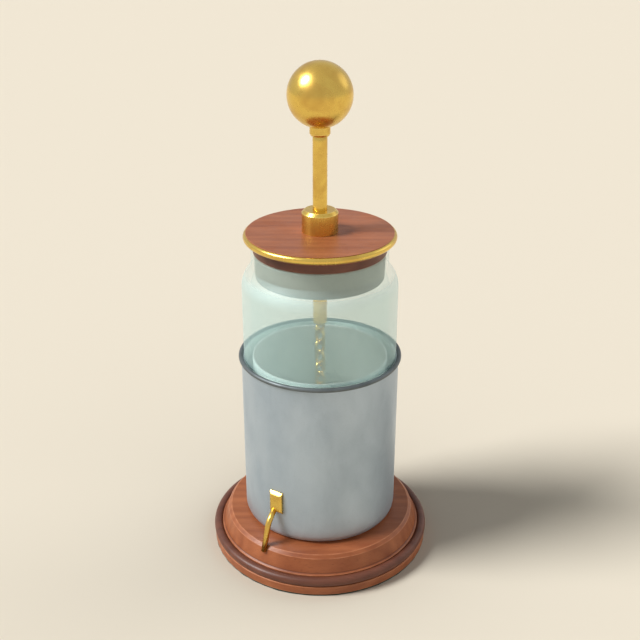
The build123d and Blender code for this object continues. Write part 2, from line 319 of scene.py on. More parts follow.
def domed(path: Array, radius: float, ease: float, steps: int = 6) -> tuple[Array, Array]:
    """Rounds both ends of a bar: the radius falls by the ease times one less a sine, within the ease.

    Args:
        path: points of the path, with its ends left where they are.
        radius: the bar's radius.
        ease: how far each end is rounded.
        steps: how many rows each round takes.

    Returns:
        The path with the rows of its ends, and the radius at each.
    """
    angle = np.linspace(0, math.pi / 2, steps)
    depth = ease * (1 - np.cos(angle))[::-1]
    shrink = ease * (1 - np.sin(angle))[::-1]
    ahead = (path[1] - path[0]) / np.linalg.norm(path[1] - path[0])
    back = (path[-2] - path[-1]) / np.linalg.norm(path[-2] - path[-1])
    first = path[0] + (ease - depth)[:, None] * ahead
    last = path[-1] + (ease - depth)[::-1, None] * back
    whole = np.vstack([first, path[1:-1], last])
    radii = np.full(len(whole), radius)
    radii[:steps] -= ease - shrink
    radii[-steps:] -= (ease - shrink)[::-1]
    return whole, radii


def ripple(angle: Array, height: Array, seed: int, count: int, turns: int, rise: float) -> Array:
    """Soft creases: a mean of cosine waves, each with whole turns round and its own slope upwards.

    Args:
        angle: angle round the axis.
        height: height of each point.
        seed: picks the waves.
        count: how many waves.
        turns: the most waves that go round.
        rise: the shortest wave's length upwards.

    Returns:
        Values from about -1 to 1.
    """
    pick = np.random.default_rng(seed)
    around = pick.integers(2, turns, count)
    upward = pick.uniform(-1, 1, count) * TAU / rise
    phase = pick.uniform(0, TAU, count)
    waves = np.cos(
        around[:, None, None] * angle + upward[:, None, None] * height + phase[:, None, None]
    )
    return waves.sum(0) / math.sqrt(count)


# Finishes


class Nodes:
    """A node tree whose nodes are joined as they are added."""

    def __init__(self, owner: Material | bpy.types.World) -> None:
        """Starts with an empty tree.

        Args:
            owner: the material or the world that the tree belongs to.
        """
        owner.use_nodes = True
        self.tree = owner.node_tree
        self.tree.nodes.clear()

    def add(self, kind: str, sockets: dict | None = None, **settings: object) -> bpy.types.Node:
        """Adds a node.

        Args:
            kind: the node's type.
            sockets: input name or number to a value, or to the output that feeds it.
            settings: the node's own properties.

        Returns:
            The node.
        """
        node = self.tree.nodes.new(kind)
        for key, value in settings.items():
            setattr(node, key, value)
        for key, value in (sockets or {}).items():
            if isinstance(value, bpy.types.NodeSocket):
                self.tree.links.new(value, node.inputs[key])
            else:
                node.inputs[key].default_value = value
        return node


class Shader(Nodes):
    """One material's nodes, with the sums and patterns that the finishes share."""

    def __init__(self, name: str) -> None:
        """Starts an empty material that reads Object coordinates.

        Args:
            name: the material's name.
        """
        self.material = bpy.data.materials.new(name)
        super().__init__(self.material)
        self.place = self.add("ShaderNodeTexCoord").outputs["Object"]

    def math(self, operation: str, first: object, second: object = 0.0, clamp: bool = False) -> Socket:
        """One sum on two values or outputs.

        Args:
            operation: which sum.
            first, second: the values.
            clamp: True to keep the result from 0 to 1.

        Returns:
            The result.
        """
        sockets = {0: first, 1: second}
        return self.add("ShaderNodeMath", sockets, operation=operation, use_clamp=clamp).outputs[0]

    def plus(self, first: object, second: object, clamp: bool = False) -> Socket:
        """The sum of two values."""
        return self.math("ADD", first, second, clamp)

    def times(self, first: object, second: object) -> Socket:
        """The product of two values."""
        return self.math("MULTIPLY", first, second)

    def blend(self, share: object, first: object, second: object) -> Socket:
        """Mixes two colours by a share."""
        node = self.add("ShaderNodeMix", {0: share, 6: first, 7: second}, data_type="RGBA")
        return node.outputs[2]

    def mix(self, share: Socket, first: Socket, second: Socket) -> Socket:
        """Mixes two surfaces by a share."""
        return self.add("ShaderNodeMixShader", {0: share, 1: first, 2: second}).outputs[0]

    def span(
        self, value: Socket, low: float, high: float, to_low: float = 0.0, to_high: float = 1.0
    ) -> Socket:
        """Maps a value from one span to another and stops at its ends.

        Args:
            value: the value.
            low, high: the span that it comes from.
            to_low, to_high: the span that it goes to.

        Returns:
            The mapped value.
        """
        sockets = {0: value, 1: low, 2: high, 3: to_low, 4: to_high}
        return self.add("ShaderNodeMapRange", sockets).outputs[0]

    def noise(
        self,
        size: float,
        detail: float = 4.0,
        stretch: tuple[float, float, float] = (1, 1, 1),
        place: Socket | None = None,
        warp: float = 0.0,
    ) -> Socket:
        """Cloudy values.

        Args:
            size: how large a cloud is.
            detail: how many finer layers it has.
            stretch: how many times longer a cloud is along each axis.
            place: where to read it, if not at Object coordinates.
            warp: how much it swirls.

        Returns:
            The value from 0 to 1.
        """
        scale = tuple(1 / (size * s) for s in stretch)
        vector = self.add("ShaderNodeMapping", {"Vector": place or self.place, "Scale": scale})
        return self.add(
            "ShaderNodeTexNoise",
            {"Vector": vector.outputs[0], "Scale": 1.0, "Detail": detail, "Distortion": warp},
        ).outputs[0]

    def turned_place(self) -> Socket:
        """Distance from the axis and height, so that a pattern runs round as tool marks do.

        Returns:
            The place, with the distance first and the height last.
        """
        parts = self.add("ShaderNodeSeparateXYZ", {0: self.place}).outputs
        flat = self.add("ShaderNodeCombineXYZ", {0: parts[0], 1: parts[1]}).outputs[0]
        away = self.add("ShaderNodeVectorMath", {0: flat}, operation="LENGTH").outputs["Value"]
        return self.add("ShaderNodeCombineXYZ", {0: away, 2: parts[2]}).outputs[0]

    def wear(self) -> Socket:
        """The mesh's own wear: 1 on outer edges, -1 in inner ones."""
        return self.add("ShaderNodeAttribute", attribute_name="wear").outputs["Fac"]

    def bump(self, height: Socket, depth: float, under: Socket | None = None) -> Socket:
        """A normal from a height.

        Args:
            height: the height, from 0 to 1.
            depth: how deep its full span is.
            under: a normal that it lies on.

        Returns:
            The normal.
        """
        sockets = {"Height": height, "Distance": depth, "Strength": 1.0}
        if under is not None:
            sockets["Normal"] = under
        return self.add("ShaderNodeBump", sockets).outputs[0]

    def principled(
        self,
        colour: object,
        rough: object,
        normal: Socket,
        metallic: object = 0.0,
        more: dict[str, float] | None = None,
    ) -> Socket:
        """A Principled surface.

        Args:
            colour, rough, normal, metallic: what its main inputs take.
            more: other inputs and their values.

        Returns:
            The surface.
        """
        sockets = {"Base Color": colour, "Metallic": metallic, "Roughness": rough, "Normal": normal}
        return self.add("ShaderNodeBsdfPrincipled", sockets | (more or {})).outputs[0]

    def finish(self, surface: Socket) -> Material:
        """Joins the surface to the output and hands the material over."""
        self.add("ShaderNodeOutputMaterial", {"Surface": surface})
        return self.material


@dataclass(frozen=True)
class WoodFinish:
    """Waxed hardwood whose grain runs along X."""

    name: str
    light: Colour
    dark: Colour
    pore: Colour
    worn: Colour
    roughness: float = 0.42
    figure_size: float = 9 * MM
    ring_gap: float = 5.5 * MM
    streak_w: float = 0.7 * MM
    pore_w: float = 0.32 * MM
    rub_size: float = 6 * MM
    wax_size: float = 14 * MM
    relief: float = 0.035 * MM
    shine: float = 0.35
    wax: float = 0.08
    wax_roughness: float = 0.25

    def material(self) -> Material:
        """Broad figure, growth rings, fine pores along the grain, paler edges and darker corners.

        Returns:
            The material.
        """
        s = Shader(self.name)
        figure = s.noise(self.figure_size, 5, (5, 1, 1.4), warp=0.5)
        lean = s.add(
            "ShaderNodeMapping",
            {"Vector": s.place, "Scale": (0.12, 1, 0.8), "Rotation": (0.5, 0, 0.06)},
        )
        rings = s.add(
            "ShaderNodeTexWave",
            {
                "Vector": lean.outputs[0],
                "Scale": TAU / 20 / self.ring_gap,
                "Distortion": 5.0,
                "Detail": 3.0,
                "Detail Scale": 0.6,
            },
            bands_direction="Y",
            wave_profile="SIN",
        ).outputs["Fac"]
        streak = s.noise(self.streak_w, 3, (26, 1, 1))
        grain = s.plus(s.times(figure, 0.75), s.times(rings, 0.10))
        grain = s.plus(grain, s.times(streak, 0.15))
        body = s.blend(s.span(grain, 0.28, 0.72), self.dark, self.light)
        pores = s.span(s.noise(self.pore_w, 2, (22, 1, 1)), 0.60, 0.70)
        body = s.blend(s.times(pores, 0.4), body, self.pore)
        rub = s.span(s.noise(self.rub_size, 4), 0.32, 0.62, 0.1, 0.6)
        body = s.blend(s.times(s.span(s.wear(), 0.2, 1.0), rub), body, self.worn)
        body = s.blend(s.span(s.wear(), -0.1, -1.0, 0, 0.55), body, self.pore)
        low, high = self.roughness - 0.06, self.roughness + 0.08
        rough = s.span(s.noise(self.wax_size, 4), 0.3, 0.7, low, high)
        normal = s.bump(s.math("SUBTRACT", streak, s.times(pores, 0.8)), self.relief)
        wax = {
            "Specular IOR Level": self.shine,
            "Coat Weight": self.wax,
            "Coat Roughness": self.wax_roughness,
        }
        return s.finish(s.principled(body, rough, normal, more=wax))


@dataclass(frozen=True)
class MetalFinish:
    """Turned or drawn metal with handling marks."""

    name: str
    bright: Colour
    dull: Colour
    roughness: float
    metallic: float = 1.0
    worn: Colour | None = None
    patch_size: float = 11 * MM
    speck_size: float = 2.4 * MM
    mark_gap: float = 0.35 * MM
    hair_w: float = 0.22 * MM
    mark_depth: float = 0.0018 * MM

    def material(self) -> Material:
        """Bright metal with soft dull patches, fine tool marks that run round, and rubbed edges.

        Returns:
            The material.
        """
        s = Shader(self.name)
        patch = s.noise(self.patch_size, 6, warp=0.4)
        speck = s.noise(self.speck_size, 3)
        dull = s.plus(s.span(patch, 0.42, 0.74, 0, 0.7), s.span(speck, 0.5, 0.8, 0, 0.15), clamp=True)
        colour = s.blend(dull, self.bright, self.dull)
        colour = s.blend(s.span(s.wear(), -0.1, -1.0, 0, 0.8), colour, self.dull)
        colour = s.blend(s.span(s.wear(), 0.1, 1.0, 0, 0.75), colour, self.worn or self.bright)
        marks = s.noise(self.mark_gap, 3, place=s.turned_place())
        hair = s.noise(self.hair_w, 2, (14, 14, 1))
        normal = s.bump(s.plus(marks, s.times(hair, 0.4)), self.mark_depth)
        rough = s.span(patch, 0.4, 0.75, self.roughness, self.roughness + 0.12)
        rough = s.plus(rough, s.span(speck, 0.35, 0.75, -0.03, 0.04))
        return s.finish(s.principled(colour, rough, normal, self.metallic))


@dataclass(frozen=True)
class FoilFinish:
    """Dull tin foil, rubbed down by hand."""

    name: str
    clean: Colour
    grey: Colour
    paste_and_painted_light: Colour
    roughness: float = 0.42
    metallic: float = 0.72
    pasted_rougher: float = 0.5
    pasted_metallic: float = 0.95
    cloud_size: float = 16 * MM
    speck_size: float = 0.9 * MM
    crease_gap: float = 7 * MM
    rub_w: float = 0.5 * MM
    mark_depth: float = 0.022 * MM
    dent_size: float = 5 * MM
    dent_depth: float = 0.10 * MM

    def material(self) -> Material:
        """Grey metal with cloudy oxide, small creases and upward rubbing marks.

        The side on the glass, where the wear is -1, is rougher and paler: paste, and painted light in the
        dark gap.

        Returns:
            The material.
        """
        s = Shader(self.name)
        cloud = s.noise(self.cloud_size, 6, (1, 1, 1.8), warp=0.3)
        speck = s.noise(self.speck_size, 4)
        oxide = s.plus(s.span(cloud, 0.35, 0.7, 0, 0.75), s.span(speck, 0.55, 0.8, 0, 0.35), clamp=True)
        colour = s.blend(oxide, self.clean, self.grey)
        inside = s.span(s.wear(), -0.5, -0.9)
        # Paste and painted light: the side on the glass is paler, to light up the dark gap behind the
        # glass.
        colour = s.blend(inside, colour, self.paste_and_painted_light)
        crease = s.noise(self.crease_gap, 3, (1, 1, 2.2), warp=1.2)
        ridge = s.math("ABSOLUTE", s.math("SUBTRACT", crease, 0.5))
        ridge = s.span(ridge, 0.0, 0.05, 1.0, 0.0)
        rub = s.noise(self.rub_w, 3, (1, 1, 16))
        dents = s.bump(s.noise(self.dent_size, 3), self.dent_depth)
        normal = s.bump(s.plus(s.times(ridge, 0.8), s.times(rub, 0.5)), self.mark_depth, dents)
        rough = s.span(cloud, 0.3, 0.7, self.roughness - 0.05, self.roughness + 0.1)
        rough = s.plus(rough, s.times(inside, self.pasted_rougher), clamp=True)
        metallic = s.span(inside, 0, 1, self.metallic, self.pasted_metallic)
        return s.finish(s.principled(colour, rough, normal, metallic))


@dataclass(frozen=True)
class GlassFinish:
    """Pale green glass under a soft film, which shows what lies behind it in place."""

    name: str
    tint: Colour
    shade: Colour
    film: Colour
    film_share: float = 0.49
    film_roughness: float = 0.65
    film_metallic: float = 0.7
    cloud_size: float = 24 * MM
    wave_size: float = 18 * MM
    wave_depth: float = 0.10 * MM
    gloss_low: float = 0.004
    gloss_high: float = 0.11
    gloss_roughness: float = 0.3

    def material(self) -> Material:
        """Tinted glass, glossier at grazing views, with its film as thick as the mesh's wear says.

        Returns:
            The material.
        """
        s = Shader(self.name)
        cloud = s.noise(self.cloud_size, 4, (1, 1, 1.6))
        back = s.add("ShaderNodeNewGeometry").outputs["Backfacing"]
        outer = s.times(s.wear(), s.math("SUBTRACT", 1.0, back))
        share = s.span(cloud, 0.3, 0.7, self.film_share * 0.95, self.film_share * 1.05)
        wave = s.bump(s.noise(self.wave_size, 2, (1, 1, 1.5)), self.wave_depth)
        clear = s.add("ShaderNodeBsdfTransparent", {"Color": self.tint}).outputs[0]
        film = s.principled(self.film, self.film_roughness, wave, self.film_metallic)
        body = s.mix(s.times(share, outer), clear, film)
        facing = s.add("ShaderNodeLayerWeight", {"Blend": 0.5}).outputs["Facing"]
        edge = s.span(s.math("POWER", facing, 4.0), 0.0, 1.0, self.gloss_low, self.gloss_high)
        gloss = {"Color": (1, 1, 1, 1), "Roughness": self.gloss_roughness, "Normal": wave}
        seen = s.mix(edge, body, s.add("ShaderNodeBsdfGlossy", gloss).outputs[0])
        path = s.add("ShaderNodeLightPath").outputs
        lit = s.math("MAXIMUM", path["Is Shadow Ray"], path["Is Diffuse Ray"])
        dimmed = s.add("ShaderNodeBsdfTransparent", {"Color": self.shade}).outputs[0]
        return s.finish(s.mix(lit, seen, dimmed))


@dataclass(frozen=True)
class MatteFinish:
    """A matte stuff made of small grains or fibres: rubber, cork or felt."""

    name: str
    base: Colour
    fleck: Colour
    grain: float
    depth: float
    roughness: float
    sheen: float = 0.0

    def material(self) -> Material:
        """Two tones of grain over a cloudy ground, raised a little.

        Returns:
            The material.
        """
        s = Shader(self.name)
        grain = s.noise(self.grain)
        cloud = s.noise(self.grain * 14)
        share = s.plus(s.span(grain, 0.45, 0.7, 0, 0.6), s.span(cloud, 0.35, 0.7, 0, 0.4), clamp=True)
        colour = s.blend(share, self.base, self.fleck)
        rough = s.span(cloud, 0.3, 0.7, self.roughness - 0.05, min(1.0, self.roughness + 0.08))
        sheen = {"Sheen Weight": self.sheen}
        return s.finish(s.principled(colour, rough, s.bump(grain, self.depth), more=sheen))


Finish = WoodFinish | MetalFinish | FoilFinish | GlassFinish | MatteFinish

FINISHES: dict[Slot, Finish] = {
    Slot.MAHOGANY: WoodFinish(
        "waxed_mahogany", tone(174, 104, 64), tone(136, 72, 40), tone(76, 38, 24), tone(200, 132, 94)
    ),
    Slot.DARK_WOOD: WoodFinish(
        "dark_stained_wood", tone(116, 70, 52), tone(86, 48, 36), tone(42, 24, 18), tone(140, 92, 72)
    ),
    Slot.BRASS: MetalFinish(
        "aged_brass", tone(234, 198, 100), tone(198, 152, 74), 0.24, worn=tone(250, 220, 130)
    ),
    Slot.PEWTER: MetalFinish(
        "dark_pewter", tone(105, 112, 114), tone(80, 86, 88), 0.42, metallic=0.5
    ),
    Slot.STEEL: MetalFinish("plain_steel", tone(160, 160, 162), tone(110, 108, 106), 0.35),
    # The third colour is the side on the glass: paste, and painted light for the dark gap behind the
    # glass.
    Slot.TIN: FoilFinish("dull_tin", tone(180, 193, 204), tone(164, 177, 187), tone(248, 252, 248)),
    Slot.GLASS: GlassFinish(
        "green_glass", (0.96, 0.985, 0.985, 1), (0.89, 0.93, 0.93, 1), tone(190, 222, 223)
    ),
    Slot.RUBBER: MatteFinish(
        "grey_rubber", tone(178, 174, 163), tone(162, 159, 148), 0.5 * MM, 0.03 * MM, 0.7
    ),
    Slot.CORK: MatteFinish("cork", tone(186, 146, 104), tone(130, 92, 60), 0.9 * MM, 0.12 * MM, 0.85),
    # The baize's dark edge, seen under the plinth, also serves as painted shade at the base's foot.
    Slot.BAIZE: MatteFinish(
        "green_baize", tone(38, 46, 36), tone(56, 66, 50), 0.25 * MM, 0.2 * MM, 0.95, sheen=0.2
    ),
}
# A paler copy of the tin for the lining: painted light for the inside of the jar, where less light
# reaches.
LINING_FINISH = FoilFinish(
    "lining_tin_painted_lighter", tone(232, 232, 226), tone(216, 217, 211), tone(248, 252, 248), 0.6, 0.85
)


# Pieces


@dataclass(frozen=True)
class Extent:
    """How far a round node reaches: its radius and its two levels."""

    radius: float
    low: float
    high: float

    @classmethod
    def of(cls, node: str) -> Extent:
        """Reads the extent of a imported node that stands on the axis."""
        low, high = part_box(node)
        return cls(float(high.x), float(low.z), float(high.z))

    def slab(
        self, foot: float, top: float, bore: float = 0.0, bore_foot: float = 0.0, taper: float = 0.0
    ) -> Array:
        """The half section of a plain disc, or of a ring where it has a bore.

        Args:
            foot, top: the ease of the lower and the upper outer edge.
            bore: the bore's radius.
            bore_foot: the ease of the bore's lower edge.
            taper: how much narrower the foot is.

        Returns:
            Rows of radius, height and wear.
        """
        return eased(
            [
                (bore, self.low, bore_foot),
                (self.radius - taper, self.low, foot),
                (self.radius, self.high, top),
                (bore, self.high, 0),
            ]
        )

    def loop(self, tube: float, steps: int = 40) -> Array:
        """The half section of a round ring that fills the extent, with a tube of this radius."""
        return round_section(self.radius - tube, self.high - tube, tube, steps)


@dataclass
class Bench:
    """Puts finished pieces on the bodies that carry them."""

    nodes: dict[str, bpy.types.Object]
    made: dict[str, Material] = field(default_factory=dict)

    def material(self, look: Finish) -> Material:
        """The material of a finish, made the first time that it is asked for.

        Args:
            look: the finish.

        Returns:
            The material.
        """
        if look.name not in self.made:
            self.made[look.name] = look.material()
        return self.made[look.name]

    def fit(
        self, mesh: Mesh, slot: Slot, body: str, *nodes: str, look: Finish | None = None
    ) -> bpy.types.Object:
        """Makes a piece of a mesh, in place of the nodes it stands for.

        Args:
            mesh: the finished mesh, whose name the piece takes.
            slot: the record's slot.
            body: the body that carries it.
            nodes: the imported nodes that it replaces.
            look: the finish, where it isn't the slot's own.

        Returns:
            The piece.
        """
        piece = bpy.data.objects.new(mesh.name, mesh)
        bpy.context.scene.collection.objects.link(piece)
        mesh.materials.append(self.material(look or FINISHES[slot]))
        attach(piece, body)
        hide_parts(*nodes)
        log.info("%s: %d faces for %s", piece.name, len(mesh.polygons), ", ".join(nodes))
        return piece

    def dress(self, node: str, slot: Slot) -> None:
        """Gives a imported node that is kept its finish.

        Args:
            node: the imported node.
            slot: the record's slot, whose finish it gets.
        """
        mesh = self.nodes[node].data
        mesh.materials.clear()
        mesh.materials.append(self.material(FINISHES[slot]))
        log.info("%s: kept", node)


def facing(turn: float) -> tuple[Array, Array]:
    """The outward direction at an angle round from the front towards -X, and the one square to it.

    Args:
        turn: the angle in degrees.

    Returns:
        The two unit directions.
    """
    angle = math.radians(turn)
    out = np.array([-math.sin(angle), -math.cos(angle), 0])
    return out, np.array([-math.cos(angle), math.sin(angle), 0])


@dataclass
class TurnedBase:
    """Baize, plinth, bead and step of the base."""

    flare_w: float = 0.9 * MM
    flare_h: float = 0.7 * MM
    foot_h: float = 4.0 * MM
    side_w: float = 2.7 * MM
    bevel_w: float = 1.55 * MM
    bevel_h: float = 1.55 * MM
    bead_tube: float = 2.4 * MM
    edge: float = 0.5 * MM
    cut_depth: float = 0.12 * MM

    def build(self, bench: Bench) -> None:
        """Makes and places the base's pieces.

        Args:
            bench: what puts them in place.
        """
        bench.fit(self.baize(), Slot.BAIZE, Body.BASE.value, "base_baize")
        bench.fit(self.plinth(), Slot.MAHOGANY, Body.BASE.value, "base_plinth")
        bench.fit(self.bead(), Slot.DARK_WOOD, Body.BASE.value, "base_bead")
        bench.fit(self.step(), Slot.MAHOGANY, Body.BASE.value, "base_step")
        bench.dress("base_screws", Slot.STEEL)
        bench.dress("seat_pad", Slot.CORK)

    def baize(self) -> Mesh:
        """A disc of cloth whose cut edge wanders a little. Its dark edge under the plinth is also painted
        shade.

        Returns:
            The closed mesh.
        """

        def cut(angle: Array, radius: Array, height: Array) -> Array:
            """Radius less a waver of up to about twice the cut's depth."""
            return radius - self.cut_depth * (1 + ripple(angle, height, 3, 12, 60, 10 * MM))

        section = Extent.of("base_baize").slab(0.2 * MM, 0.2 * MM)
        return turned("cut_baize", section, 256, cut)

    def plinth(self) -> Mesh:
        """The lower disc, with eased edges."""
        return turned("turned_plinth", Extent.of("base_plinth").slab(self.edge, 0.4 * MM))

    def bead(self) -> Mesh:
        """A round moulding, cut flat by the plinth under it and the step's foot beside it.

        Returns:
            The closed mesh.
        """
        e = Extent.of("base_bead")
        foot = Extent.of("base_step").radius
        section = e.loop(self.bead_tube, 48)
        section[:, 0] = np.maximum(section[:, 0], foot)
        section[:, 1] = np.maximum(section[:, 1], e.low)
        return turned("turned_bead", section)

    def step(self) -> Mesh:
        """The upper step: foot, flare, sloping side and bevel.

        Returns:
            The closed mesh.
        """
        e = Extent.of("base_step")
        side_r = e.radius - self.flare_w
        bevel_r = side_r - self.side_w
        corners = [
            (0, e.low, 0),
            (e.radius, e.low, 0.1 * MM),
            (e.radius, e.low + self.foot_h, 0.45 * MM),
            (side_r, e.low + self.foot_h + self.flare_h, 0.7 * MM),
            (bevel_r, e.high - self.bevel_h, 0.5 * MM),
            (bevel_r - self.bevel_w, e.high, 0.5 * MM),
            (0, e.high, 0),
        ]
        return turned("turned_step", refined(eased(corners), 3 * MM))


@dataclass
class FoiledJar:
    """The glass jar with its outer foil, rim ring and lining."""

    foil_t: float = 1.2 * MM
    foil_heel: float = 4.0 * MM
    crease: float = 0.05 * MM
    crease_rise: float = 26 * MM
    calm_h: float = 6 * MM
    pleat_h: float = 4 * MM
    seam_turn: float = 158.0
    seam_t: float = 0.08 * MM
    seam_w: float = 9 * MM
    seam_soft: float = 0.008
    wall: float = 4.4 * MM
    floor: float = 5.85 * MM
    heel: float = 2.7 * MM
    inner_heel: float = 4.0 * MM
    shoulder: float = 13.5 * MM
    straight: float = 126.85 * MM
    neck_wall: float = 1.45 * MM
    mouth_in: float = 6.45 * MM
    film_from: float = 0.3
    film_fade: float = 5 / 12
    film_least: float = 0.32
    lining_t: float = 0.6 * MM
    lining_crease: float = 0.08 * MM
    rim_tube: float = 1.14 * MM

    def build(self, bench: Bench) -> None:
        """Makes and places the jar's pieces.

        Args:
            bench: what puts them in place.
        """
        body = Body.BASE.value
        bench.fit(self.outer_foil(), Slot.TIN, body, "outer_foil")
        bench.fit(self.rim(), Slot.PEWTER, body, "foil_rim_ring")
        bench.fit(self.glass(), Slot.GLASS, body, "glass_jar")
        bench.fit(self.lining(), Slot.TIN, body, "inner_foil", look=LINING_FINISH)

    def outer_foil(self) -> Mesh:
        """A cup of tin. Its wall carries soft creases, and a lap where the sheet's ends meet.

        Returns:
            The closed mesh.
        """
        e = Extent.of("outer_foil")
        inner = e.radius - self.foil_t
        corners = [
            (0, e.low, 0),
            (e.radius, e.low, self.foil_heel),
            (e.radius, e.high, 0.25 * MM),
            (inner, e.high, 0.1 * MM),
            (inner, e.low + self.foil_t, self.foil_heel - self.foil_t),
            (0, e.low + self.foil_t, 0),
        ]
        seam = math.radians(270 - self.seam_turn)
        lap = self.seam_w / e.radius

        def pressed(angle: Array, radius: Array, height: Array) -> Array:
            """Radius with its creases, less the lap's thickness where the sheet is single.

            Args:
                angle, radius, height: where each point of the section lies.

            Returns:
                The new radius.
            """
            away = (angle - seam + math.pi) % TAU - math.pi
            single = 0.5 + 0.5 * np.tanh((np.abs(away) - lap / 2) / self.seam_soft)
            wall = np.clip((radius - inner - 0.4 * self.foil_t) / (0.4 * self.foil_t), 0, 1)
            calm = np.clip((e.high - height) / self.calm_h, 0.2, 1)
            waves = calm * ripple(angle, height, 11, 26, 34, self.crease_rise)
            foot = np.exp(-((height - e.low) / self.pleat_h) ** 2)
            waves += foot * ripple(angle, height, 5, 14, 90, 1)
            return radius - wall * (self.crease * waves + self.seam_t * single)

        section = refined(eased(corners), 1.2 * MM)
        # Wear -1 marks the inner face, which the finish paints paler: paste, and painted light.
        section[section[:, 0] < inner + 0.01 * MM, 2] = -1
        return turned("tin_jacket", section, 360, pressed)

    def rim(self) -> Mesh:
        """A round ring over the foil's upper edge."""
        return turned("pewter_rim", Extent.of("foil_rim_ring").loop(self.rim_tube))

    def glass(self) -> Mesh:
        """The jar's wall from the middle of its floor outside, over the lip and back inside.

        The wear is the film's thickness on the outer side, above the foil. It falls over the shoulder as
        a cosine does.

        Returns:
            The closed mesh.
        """
        e = Extent.of("glass_jar")
        covered = Extent.of("outer_foil").high
        spring = e.low + self.straight
        mouth = e.radius - self.mouth_in
        neck = mouth + self.neck_wall
        middle = e.radius - self.shoulder
        outside = math.acos((neck - middle) / self.shoulder)
        inner_round = self.shoulder - self.wall
        inside = math.acos((mouth - middle) / inner_round)
        inner = e.radius - self.wall
        corners = [
            (0, e.low, 0),
            (e.radius, e.low, self.heel),
            (e.radius, spring + self.shoulder * math.tan(outside / 2), self.shoulder),
            (neck, spring + self.shoulder * math.sin(outside), 0.5 * MM),
            (neck, e.high, 0.35 * MM),
            (mouth, e.high, 0.35 * MM),
            (mouth, spring + inner_round * math.sin(inside), 0.4 * MM),
            (inner, spring + inner_round * math.tan(inside / 2), inner_round),
            (inner, e.low + self.floor, self.inner_heel),
            (0, e.low + self.floor, 0),
        ]
        section = refined(eased(corners, steps=16), 2 * MM)
        lip = np.argmax(section[:, 1] > e.high - 1e-6)
        risen = (section[:, 1] - spring) / self.shoulder
        gone = (1 - np.cos(math.pi * np.clip((risen - self.film_from) / self.film_fade, 0, 1))) / 2
        film = 1 - (1 - self.film_least) * gone
        bare = (np.arange(len(section)) > lip) | (section[:, 1] < covered)
        section[:, 2] = np.where(bare, 0, film)
        return turned("blown_glass", section, 240)

    def lining(self) -> Mesh:
        """A thin cup of tin inside the glass, creased where it was pressed on.

        Returns:
            The closed mesh.
        """
        e = Extent.of("inner_foil")
        inner = e.radius - self.lining_t
        turn = self.inner_heel
        corners = [
            (0, e.low, 0),
            (e.radius, e.low, turn),
            (e.radius, e.high, 0.1 * MM),
            (inner, e.high, 0.1 * MM),
            (inner, e.low + self.lining_t, turn - self.lining_t),
            (0, e.low + self.lining_t, 0),
        ]

        def pressed(angle: Array, radius: Array, height: Array) -> Array:
            """Radius less the creases, on the inner face alone.

            Args:
                angle, radius, height: where each point of the section lies.

            Returns:
                The new radius.
            """
            face = (radius < inner + 1e-6) & (radius > 0.5 * inner) & (height < e.high - 0.3 * MM)
            waves = ripple(angle, height, 23, 24, 30, 24 * MM)
            return radius - face * self.lining_crease * (1 + waves)

        section = refined(eased(corners), 1.5 * MM)
        # Wear -1 marks the outer face, on the glass, which the finish paints paler: paste, and painted
        # light.
        section[section[:, 0] > e.radius - 0.01 * MM, 2] = -1
        return turned("tin_lining", section, 320, pressed)


